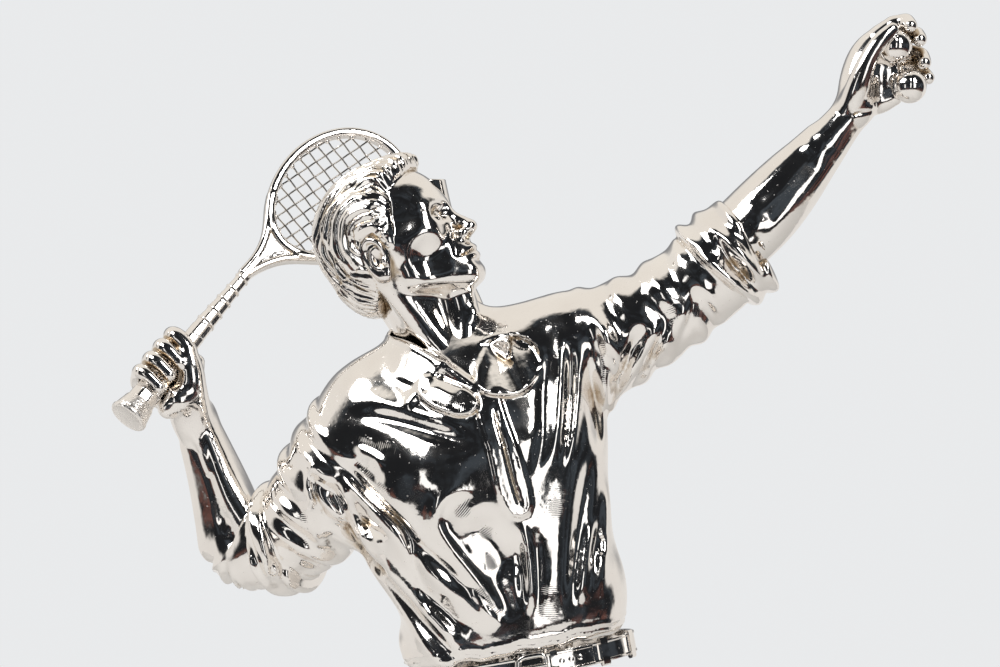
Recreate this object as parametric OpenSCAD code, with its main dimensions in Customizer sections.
/* [Figure] */
// Standing height of the figure, from the soles to the crown
figure_h = 310; // [280:1:340]
// Diameter of one of the balls in the raised hand
ball_d = 8.8; // [8:0.1:9.2]
// Lean of the head backwards, in degrees
head_pitch = 33; // [25:1:36]

/* [Racket] */
// Length of the handle and shaft, from the butt to the throat
shaft_len = 58; // [57:0.5:60]
// Length of the hoop, outside
hoop_len = 47; // [44:0.5:50]
// Width of the hoop, outside
hoop_w = 35.5; // [34:0.5:38]
// Diameter of a string wire
string_d = 0.7; // [0.5:0.05:0.9]
// Distance between neighbouring strings
string_pitch = 3.3; // [3:0.1:4]

/* [Base] */
// Diameter of the plinth at its foot
plinth_d = 156; // [150:1:170]
// Height of the turned plinth
plinth_h = 54; // [48:1:60]
// Thickness of the cast plate that the shoes stand on
ground_h = 6; // [5:0.5:8]
// Thickness of the felt under the plinth
felt_t = 2; // [1.5:0.5:3]
// Diameter of the threaded studs that hold the figure down
stud_d = 5; // [4:0.5:6]

/* [Hidden] */

gap = 0.08;            // soldered and cemented pieces stop this far from each other
k = figure_h / 310;    // size of the figure against its drawn size of 310
ground_z = felt_t + plinth_h + ground_h;
waist = [-14, 0, ground_z + 195 * k];   // the figure's own origin, at the middle of its waist
ball_r = ball_d / 2;
string_r = string_d / 2;

silver = [0.86, 0.84, 0.80];
ebony = [0.06, 0.05, 0.05];

// Figure points: x to the raised arm, y to the figure's back, z up, from the waist.
neck_line = [[-20, 3, 72, 11], [-21, 3, 80, 10.4], [-24, 2.5, 90, 10.2], [-28, 2, 99, 10.6]];
skull = [-32, 1, 107.5];
head_yaw = -15;

left_sleeve = [[8, 2, 73, 15], [22, 2, 81, 14], [35, 1, 88, 13], [47, 0, 95.5, 12], [55, -1, 102, 11.5]];
left_cuff = [[51.5, -0.5, 98.4, 15], [61.4, -1, 106.8, 13.2]];
left_arm = [
  [52, -1, 99, 8.6], [57, -1, 105.5, 9.2], [63.5, -1, 112.5, 9.6], [70, -1, 120, 8.8], [77, -1, 128, 7.2],
  [83.5, -1, 135.2, 5.7], [88.8, -0.8, 141.6, 5]
];
left_palm = [
  [88.6, -0.6, 141.6, 4.9], [89.4, 0.8, 146.5, 5.3], [90.6, 1.8, 151.6, 5.1], [92.8, 2.2, 156.4, 4.3],
  [95.4, 1.8, 159.8, 3]
];
left_fingers = [
  [[94.4, 1.2, 159.4, 2.6], [98.6, 1.2, 162.6, 2.3], [101.6, -0.2, 163.4, 2], [102.5, -2.8, 162.2, 1.8]],
  [[94.8, 3.8, 157.2, 2.5], [100.6, 4.6, 160.2, 2.3], [104.6, 2.4, 160.2, 2.1], [105.2, -0.8, 158.8, 1.8]],
  [[94, 5.2, 153.4, 2.5], [101, 5.8, 155.6, 2.3], [105.8, 3.2, 154.8, 2.1], [106.4, 0, 152.8, 1.8]],
  [[93, 4.8, 149.4, 2.4], [100.4, 5.8, 151.4, 2.2], [105.9, 3.8, 150.7, 2], [107.5, 0.8, 148.9, 1.6]],
  [[88, -3.8, 143, 3.1], [89.2, -5.8, 149, 2.9], [92.2, -6.6, 155, 2.3], [97.4, -5.8, 161, 1.7]]
];
near_ball_at = [102.2, -3.4, 146.4];
far_ball_at = [98.6, -2.6, 156.8];

right_sleeve = [[-37, 4.5, 59, 16], [-43, 8, 49, 16], [-50, 12.5, 38.5, 15], [-57, 18, 31, 13.5], [-62, 21, 28, 13]];
right_cuff = [[-57, 17.8, 30, 15.2], [-67.6, 24.4, 26, 14.6]];
right_arm = [
  [-66, 23.5, 26, 11], [-72.3, 26.5, 24.6, 9.8], [-74.6, 26.8, 30.5, 8.6], [-79.2, 25.6, 45, 6.9],
  [-82.8, 24.8, 54, 6], [-85.6, 24, 60.5, 5.5]
];
racket_at = [-101.8, 9, 60.2];      // the butt's end
racket_lean = -28;                // the tip goes back
racket_turn = 37.5;               // the tip goes towards the raised arm
hoop_bend = 9.8;                  // the hoop is set over from the line of the shaft
string_turn = 5;                  // the wire mesh is set over in the hoop
grip_first = 11.5;                // the little finger's place, from the butt
finger_pitch = 4.7;
finger_r = 2.15;
butt_h = 4.4;
grip_r = 4.2;
throat_r = 1.9;
throat_len = 11.5;                // from the end of the shaft to the hoop
hoop_t = 2.6;                     // thickness of the hoop across the face
hoop_deep = 3.6;                  // depth of the hoop through the face
hoop_a = (hoop_len - hoop_t) / 2;
hoop_b = (hoop_w - hoop_t) / 2;
main_count = 10;
cross_count = 12;

// Radius of the handle at a height above the butt.
function grip_at(z) = grip_r + (throat_r - grip_r) * (z - butt_h) / (shaft_len - 8 - butt_h);

// The hoop's line narrows a little towards the throat.
function hoop_point(a) = [(hoop_b + 1.2 * sin(a)) * cos(a), 0, hoop_a * sin(a)];

right_leg = [[-11, 4, -22, 18], [-13, 3, -50, 15.5], [-16, 1, -98, 12], [-22, 8, -150, 9.8], [-25, 12, -178.1, 9.4]];
left_leg = [[15, 3, -22, 18], [22, 0, -52, 15.5], [33, -5, -98, 12], [39, -4, -150, 9.8], [42, -4, -178.1, 9.4]];
right_foot_at = [-25, 6, -195];
right_foot_turn = -75;
left_foot_at = [48, -7, -195];
left_foot_turn = -22;
stud_in_shoe = 4;
stud_spots = [for (p = [right_foot_at, left_foot_at]) [waist[0] + p[0] * k, waist[1] + p[1] * k]];

// Torso sections: centre, half width, half depth, and how far the raised side is tipped up.
torso_rings = [
  [1.5, 1.5, 1, 27, 18.5, 10.5], [0.5, 1, 5, 29.4, 20.6, 11], [0, 1, 9.3, 30, 21.4, 12],
  [-0.7, 1, 14.2, 30, 21.8, 13.5], [-3.4, 0.6, 21.8, 30.4, 21.8, 13.5], [-6.6, 0.2, 30.3, 32.2, 22, 13.5],
  [-8.6, 0, 41.1, 33.8, 22.6, 13.5], [-9.7, 0, 51.1, 34.6, 22.4, 13.5], [-11.4, 0.8, 61, 33.6, 20.8, 15],
  [-13, 1.5, 69, 30.5, 18.4, 18], [-17, 2.5, 77, 23, 15.2, 21], [-20.5, 3, 83, 14.5, 13, 20],
  [-21, 3, 86, 13.4, 12.6, 18]
];
// The castings are hollow: both rooms are open where the shirt and the trousers meet.
torso_room = [
  [2, 1.5, -6, 22.5, 14.5, 10.5], [0.4, 1, 6, 25.4, 17, 11], [-0.7, 1, 14.2, 26, 17.6, 13.5],
  [-3.4, 0.6, 21.8, 26.4, 17.6, 13.5], [-6.6, 0.4, 30.3, 28, 18, 13.5], [-8.6, 0.4, 41.1, 28.6, 18.2, 13.5],
  [-9.6, 1, 51, 22, 14, 15]
];
hip_room = [[4, 3, -26, 18, 12, 3], [3, 2.5, -14, 23, 15, 6], [2.4, 1.7, 4, 22.1, 14.6, 10.5]];
hip_rings = [
  [6, 3, -40, 27, 17, 0], [4, 3, -28, 29, 19, 3], [3.4, 2.5, -14, 28.5, 19, 7],
  [3, 2, -3.4, 26.4, 18.3, 10.5], [1.8, 1.5, 0.5, 25.8, 18, 10.5]
];
hip_tip = 10.5;                   // the belt rises with the raised side

// ---- shapes that repeat ----

// A closed loft through flat elliptical sections.
module loft(rings, sides = 28) {
  n = len(rings);
  points = [for (r = rings, i = [0:sides - 1])
    let (a = 360 * i / sides, u = r[3] * cos(a))
    [r[0] + u * cos(r[5]), r[1] + r[4] * sin(a), r[2] + u * sin(r[5])]];
  walls = [for (j = [0:n - 2], i = [0:sides - 1])
    let (a = j * sides + i, b = j * sides + (i + 1) % sides)
    [a, a + sides, b + sides, b]];
  floor_cap = [[for (i = [0:sides - 1]) i]];
  roof_cap = [[for (i = [sides - 1:-1:0]) (n - 1) * sides + i]];
  polyhedron(points, concat(walls, floor_cap, roof_cap));
}

// A row of spheres, each hulled to the next, as [x, y, z, radius].
module chain(line, more = 0, fn = 20) {
  for (i = [0:len(line) - 2])
    hull()
      for (p = [line[i], line[i + 1]])
        translate([p[0], p[1], p[2]])
          sphere(p[3] + more, $fn = fn);
}

// A straight cone between two points, as [x, y, z, radius].
module tube(a, b) {
  way = [b[0] - a[0], b[1] - a[1], b[2] - a[2]];
  translate([a[0], a[1], a[2]])
    rotate([0, acos(way[2] / norm(way)), atan2(way[1], way[0])])
      cylinder(h = norm(way), r1 = a[3], r2 = b[3], $fn = 36);
}

module ellipsoid(at, size, fn = 24) {
  translate(at)
    scale(size)
      sphere(1, $fn = fn);
}

module in_figure() {
  translate(waist)
    scale(k)
      children();
}

module in_racket() {
  translate(racket_at)
    rotate([0, racket_turn, 0])
      rotate([racket_lean, 0, 0])
        children();
}

module in_hoop() {
  translate([0, 0, shaft_len - 2])
    rotate([0, hoop_bend, 0])
      translate([0, 0, hoop_len / 2 + throat_len])
        children();
}

module in_head() {
  translate(skull)
    rotate([0, 0, head_yaw])
      rotate([0, -head_pitch, 0])
        children();
}

// ---- the figure ----

module neck(more = 0) {
  chain(neck_line, more, 24);
}

module head_shape() {
  in_head() {
    ellipsoid([0, 0, 0.4], [19, 15.6, 18.8], 32);      // skull and hair
    hull() {
      ellipsoid([6, 0, -1], [11.5, 12, 9], 20);        // brow and cheekbones
      ellipsoid([10.5, 0, -17], [5.6, 6, 5.2], 20);    // chin
      ellipsoid([0, 0, -12], [8, 11, 4.5], 20);        // angle of the jaw
    }
    hull() {
      ellipsoid([16.4, 0, -1.5], [1.6, 1.5, 2], 12);   // bridge of the nose
      ellipsoid([18.6, 0, -9.5], [2.2, 2.4, 1.8], 12); // tip of the nose
    }
    for (side = [-1, 1])
      ellipsoid([-1.5, side * 14.4, -5.6], [3, 1.7, 5], 14);   // ear
  }
}

module head() {
  color(silver)
    in_figure() {
      head_shape();
      neck();
    }
}

module sleeves() {
  chain(left_sleeve, 0, 24);
  tube(left_cuff[0], left_cuff[1]);
  chain(right_sleeve, 0, 24);
  tube(right_cuff[0], right_cuff[1]);
}

module torso_shape() {
  loft(torso_rings);
  sleeves();
  hull() {
    ellipsoid([-27, 1, 78], [9, 11, 6], 16);     // trapezius on the low side
    ellipsoid([-40, 4, 66], [8, 9, 6], 16);
  }
  hull() {
    ellipsoid([-14, 1, 80], [8, 11, 5], 16);     // shoulder on the raised side
    ellipsoid([4, 2, 82], [9, 10, 6], 16);
  }
}

module torso() {
  color(silver)
    in_figure()
      difference() {
        torso_shape();
        loft(torso_room);
        neck(gap);
        head_room();
        chain(left_arm, gap);
        chain(right_arm, gap);
      }
}

// Room under the skull, so that the collar never reaches the head.
module head_room() {
  in_head()
    ellipsoid([0, 0, 0.4], [19.3, 15.9, 19.1], 20);
}

module left_forearm() {
  color(silver)
    in_figure()
      difference() {
        union() {
          chain(left_arm);
          chain(left_palm);
          for (f = left_fingers)
            chain(f, 0, 14);
        }
        translate(near_ball_at)
          sphere(ball_r + gap, $fn = 32);
        translate(far_ball_at)
          sphere(ball_r + gap, $fn = 32);
      }
}

module near_ball() {
  color(silver)
    in_figure()
      translate(near_ball_at)
        sphere(ball_r, $fn = 64);
}

module far_ball() {
  color(silver)
    in_figure()
      translate(far_ball_at)
        sphere(ball_r, $fn = 64);
}

// One finger bent round the handle, in the racket's own frame, from the back to the front.
module grip_finger(at, r, from, to) {
  wrap = grip_r + r;
  steps = 4;
  chain([for (i = [0:steps])
    let (a = from + (to - from) * i / steps)
    [wrap * cos(a), wrap * sin(a), at, r - 0.1 * i]], 0, 14);
}

module right_hand() {
  in_racket() {
    for (i = [0:3])
      grip_finger(grip_first + finger_pitch * i, finger_r, 60, 285);
    hull() {
      translate([6, 2.6, grip_first])
        sphere(3.58, $fn = 20);
      translate([5.6, 2, grip_first + finger_pitch * 3.3])
        sphere(3.4, $fn = 20);
      translate([7.4, -1.6, grip_first + 3])
        sphere(3.4, $fn = 20);
      translate([5.4, -2.6, grip_first + finger_pitch * 3.2])
        sphere(2.6, $fn = 20);
    }
  }
  hull() {
    translate([-85.6, 24, 60.5])
      sphere(5.57, $fn = 20);
    in_racket()
      translate([6.4, 1.5, grip_first + 3])
        sphere(4.54, $fn = 20);
  }
}

module right_forearm() {
  color(silver)
    in_figure()
      difference() {
        union() {
          chain(right_arm);
          right_hand();
        }
        in_racket()
          handle_shape(gap);
      }
}

module trousers() {
  color(silver)
    in_figure()
      difference() {
        union() {
          loft(hip_rings);
          chain(right_leg, 0, 24);
          chain(left_leg, 0, 24);
          hem(right_leg);
          hem(left_leg);
        }
        loft(hip_room);
        shoe_shape(right_foot_at, right_foot_turn, gap);
        shoe_shape(left_foot_at, left_foot_turn, gap);
      }
}

// The turn-up at a trouser leg's foot.
module hem(leg) {
  foot = leg[len(leg) - 1];
  hull()
    for (z = [0, 7])
      translate([foot[0], foot[1], foot[2] - 9.6 + z])
        cylinder(h = 2, r = foot[3] + 1.49, center = true, $fn = 24);
}

module belt_band(more, h) {
  rotate([0, -hip_tip, 0])
    linear_extrude(height = h, center = true)
      polygon([for (a = [0:7.5:352.5]) [(26.4 + more) * cos(a), (18.3 + more) * sin(a)]]);
}

module belt() {
  color(silver)
    in_figure()
      translate([3, 2, -2.7])
        difference() {
          belt_band(2, 5.6);
          belt_band(1.1, 7);
          translate([1.2, -18, 0])
            cube([8 + gap * 2, 14, 14], center = true);
        }
}

module belt_buckle() {
  color(silver)
    in_figure()
      translate([4.2, -17.9, -2.5])
        rotate([0, -hip_tip, 0])
          difference() {
            cube([7.9, 2.4, 6.2], center = true);
            cube([5, 4, 4], center = true);
          }
}

module shoe_shape(at, turn, more = 0) {
  translate(at)
    rotate([0, 0, turn])
      intersection() {
        union() {
          hull() {
            ellipsoid([-10, 0, 5], [8 + more, 7 + more, 7 + more], 20);
            ellipsoid([8, 0, 4], [10 + more, 8 + more, 5 + more], 20);
          }
          hull() {
            ellipsoid([8, 0, 3.5], [10 + more, 8 + more, 5 + more], 20);
            ellipsoid([21, 0, 2.6], [7 + more, 7 + more, 4.4 + more], 20);
          }
          hull() {
            ellipsoid([-8, 0, 8], [8 + more, 7 + more, 6 + more], 20);
            ellipsoid([-4, 0, 14], [6.5 + more, 6.5 + more, 4 + more], 20);
          }
        }
        translate([0, 0, 20])
          cube([80, 40, 40], center = true);
      }
}

// A shoe with the blind hole that its stud is soldered into.
module shoe(at, turn) {
  color(silver)
    difference() {
      in_figure()
        shoe_shape(at, turn);
      translate([waist[0] + at[0] * k, waist[1] + at[1] * k, ground_z - 1])
        cylinder(h = 1 + stud_in_shoe + 0.3, r = stud_d / 2 + 0.05, $fn = 48);
    }
}

module left_shoe() {
  shoe(left_foot_at, left_foot_turn);
}

module right_shoe() {
  shoe(right_foot_at, right_foot_turn);
}

// ---- the racket ----

// An eight-sided handle that narrows into the shaft.
module handle_shape(more = 0) {
  rotate([0, 0, 22.5]) {
    translate([0, 0, butt_h])
      cylinder(h = shaft_len - 8 - butt_h, r1 = grip_r + more, r2 = throat_r + more, $fn = 8);
    translate([0, 0, shaft_len - 8])
      cylinder(h = 8, r = throat_r + more, $fn = 8);
  }
}

module racket_handle() {
  color(silver)
    in_figure()
      in_racket()
        difference() {
          handle_shape();
          in_hoop()
            throat(gap);
        }
}

module butt_cap() {
  color(silver)
    in_figure()
      in_racket()
        difference() {
          union() {
            cylinder(h = 1.2, r = 5.3, $fn = 48);
            translate([0, 0, 1.2])
              cylinder(h = 4.4, r1 = 5.3, r2 = 4.3, $fn = 48);
          }
          handle_shape(gap / 2);
        }
}

// Raised edges of the leather strip that is wound round the handle.
module handle_binding() {
  first = grip_first + finger_pitch * 4 + 5;
  count = 5;
  pitch = 4.2;
  color(silver)
    in_figure()
      in_racket()
        for (i = [0:count - 1])
          let (z = first + pitch * i, r = grip_at(z))
            translate([0, 0, z])
              rotate([0, 0, 22.5])
                difference() {
                  cylinder(h = 0.7, r = r + 0.36, $fn = 8);
                  translate([0, 0, -0.5])
                    cylinder(h = 2, r = r + 0.06, $fn = 8);
                }
}

module hoop_ring(steps = 44, sides = 10) {
  points = [for (i = [0:steps - 1])
    let (a = 360 * i / steps, c = hoop_point(a), n = hoop_point(a + 4) - hoop_point(a - 4),
      out = [n[2], 0, -n[0]] / norm(n))
    for (j = [0:sides - 1])
      let (b = 360 * j / sides)
      c + out * (hoop_t / 2 * cos(b)) + [0, hoop_deep / 2 * sin(b), 0]];
  faces = [for (i = [0:steps - 1], j = [0:sides - 1])
    let (a = i * sides, b = ((i + 1) % steps) * sides, m = (j + 1) % sides)
    [a + j, b + j, b + m, a + m]];
  polyhedron(points, faces);
}

// The two curved arms that run from the hoop's sides into the shaft, and the flat wedge between them.
module throat(more = 0) {
  low = -hoop_a;
  rotate([90, 0, 0])
    linear_extrude(height = 2.4 + 2 * more, center = true)
      polygon(concat(
        [for (a = [-38:-12:-142]) [hoop_point(a)[0], hoop_point(a)[2]]],
        [[-hoop_b * 0.44, low * 0.94], [-hoop_b * 0.22, low - 3], [-0.7, low - 11.5], [0.7, low - 11.5]],
        [[hoop_b * 0.22, low - 3], [hoop_b * 0.44, low * 0.94]]
      ));
  for (side = [-1, 1])
    chain([
      [side * hoop_b * 0.72, 0, low * 0.66, 1.4 + more],
      [side * hoop_b * 0.44, 0, low * 0.94, 1.4 + more],
      [side * hoop_b * 0.22, 0, low - 3, 1.4 + more],
      [side * 1.1, 0, low - 8.5, 1.4 + more],
      [side * 0.3, 0, low - 13, 1.7 + more]
    ], 0, 12);
}

module racket_hoop() {
  color(silver)
    in_figure()
      in_racket()
        in_hoop()
          union() {
            hoop_ring();
            throat();
          }
}

// The room inside the hoop, which every wire is cut to.
module string_room() {
  rim = hoop_t / 2 + gap / 2;
  rotate([90, 0, 0])
    linear_extrude(height = 4, center = true)
      polygon([for (a = [0:7.5:352.5])
        let (c = hoop_point(a), n = hoop_point(a + 4) - hoop_point(a - 4))
        [c[0] - rim * n[2] / norm(n), c[2] + rim * n[0] / norm(n)]]);
}

module main_strings() {
  color(silver)
    in_figure()
      in_racket()
        in_hoop()
          intersection() {
            string_room();
            rotate([0, string_turn, 0])
              for (i = [0:main_count - 1])
                translate([(i - (main_count - 1) / 2) * string_pitch, -string_r - 0.02, 0])
                  cylinder(h = hoop_len, r = string_r, center = true, $fn = 24);
          }
}

module cross_strings() {
  color(silver)
    in_figure()
      in_racket()
        in_hoop()
          intersection() {
            string_room();
            rotate([0, string_turn, 0])
              for (i = [0:cross_count - 1])
                translate([0, string_r + 0.02, (i - (cross_count - 1) / 2) * string_pitch])
                  rotate([0, 90, 0])
                    cylinder(h = hoop_len, r = string_r, center = true, $fn = 24);
          }
}

// ---- the base ----

plinth_r = plinth_d / 2;
drum_r = plinth_r - 8;
band_t = 1.2;
band_h = 20;
band_z = felt_t + plinth_h * 0.5;
washer_d = stud_d * 2.4;
washer_t = 1.2;
nut_h = stud_d * 0.8;
recess_d = washer_d + 4;
recess_h = nut_h + washer_t + 5;

module at_studs() {
  for (p = stud_spots)
    translate([p[0], p[1], 0])
      children();
}

module felt_pad() {
  color([0.06, 0.16, 0.1])
    cylinder(h = felt_t, r = plinth_r - 2, $fn = 96);
}

module plinth() {
  foot_h = 9;
  top_r = drum_r - 5;
  color(ebony)
    difference() {
      translate([0, 0, felt_t])
        rotate_extrude($fn = 96)
          polygon([
            [0, 0], [plinth_r - 1, 0], [plinth_r, 1], [plinth_r, foot_h - 2], [plinth_r - 2, foot_h],
            [drum_r + 2, foot_h + 1], [drum_r, foot_h + 4], [drum_r, plinth_h - 10],
            [drum_r + 1.5, plinth_h - 8], [drum_r + 1.5, plinth_h - 5.5], [drum_r - 1, plinth_h - 3.5],
            [top_r, plinth_h], [0, plinth_h]
          ]);
      at_studs()
        translate([0, 0, -1])
          cylinder(h = ground_z, r = stud_d / 2 + 0.3, $fn = 48);
      at_studs()
        translate([0, 0, felt_t - 1])
          cylinder(h = recess_h + 1, r = recess_d / 2, $fn = 48);
    }
}

module winners_band() {
  color(silver)
    difference() {
      translate([0, 0, band_z - band_h / 2])
        cylinder(h = band_h, r = drum_r + 0.05 + band_t, $fn = 96);
      translate([0, 0, band_z - band_h])
        cylinder(h = band_h * 2, r = drum_r + 0.05, $fn = 96);
      for (i = [0:3])
        rotate([0, 0, 45 + 90 * i])
          translate([drum_r - 2, 0, band_z])
            rotate([0, 90, 0])
              cylinder(h = 6, r = 0.85, $fn = 24);
    }
}

// Round-headed pins that hold the band; their shanks are driven into the wood.
module band_pins() {
  color(silver)
    for (i = [0:3])
      rotate([0, 0, 45 + 90 * i])
        translate([drum_r + 0.05 + band_t + 0.02, 0, band_z])
          rotate([0, 90, 0]) {
            translate([0, 0, -1.2])
              cylinder(h = 1.6, r = 0.8, $fn = 24);
            cylinder(h = 0.8, r1 = 1.7, r2 = 1, $fn = 24);
          }
}

module ground_plate() {
  r = drum_r - 7;
  color(silver)
    difference() {
      translate([0, 0, felt_t + plinth_h])
        rotate_extrude($fn = 96)
          polygon([[0, 0], [r, 0], [r, ground_h - 2.5], [r - 1.5, ground_h - 1], [r - 4, ground_h], [0, ground_h]]);
      at_studs()
        cylinder(h = ground_z * 2, r = stud_d / 2 + 0.2, $fn = 48);
    }
}

module foot_studs() {
  low = felt_t + recess_h - washer_t - nut_h - 2;
  color("silver")
    at_studs()
      translate([0, 0, low])
        cylinder(h = ground_z + stud_in_shoe - low, r = stud_d / 2, $fn = 48);
}

module stud_washers() {
  color("silver")
    at_studs()
      translate([0, 0, felt_t + recess_h - washer_t])
        difference() {
          cylinder(h = washer_t, r = washer_d / 2, $fn = 48);
          translate([0, 0, -1])
            cylinder(h = washer_t + 2, r = stud_d / 2 + 0.2, $fn = 48);
        }
}

module stud_nuts() {
  color("silver")
    at_studs()
      translate([0, 0, felt_t + recess_h - washer_t - nut_h])
        difference() {
          cylinder(h = nut_h, r = stud_d, $fn = 6);
          translate([0, 0, -1])
            cylinder(h = nut_h + 2, r = stud_d / 2 + 0.05, $fn = 48);
        }
}

torso();
head();
left_forearm();
right_forearm();
trousers();
belt();
belt_buckle();
left_shoe();
right_shoe();
near_ball();
far_ball();
racket_hoop();
racket_handle();
handle_binding();
butt_cap();
main_strings();
cross_strings();
ground_plate();
plinth();
winners_band();
band_pins();
foot_studs();
stud_washers();
stud_nuts();
felt_pad();
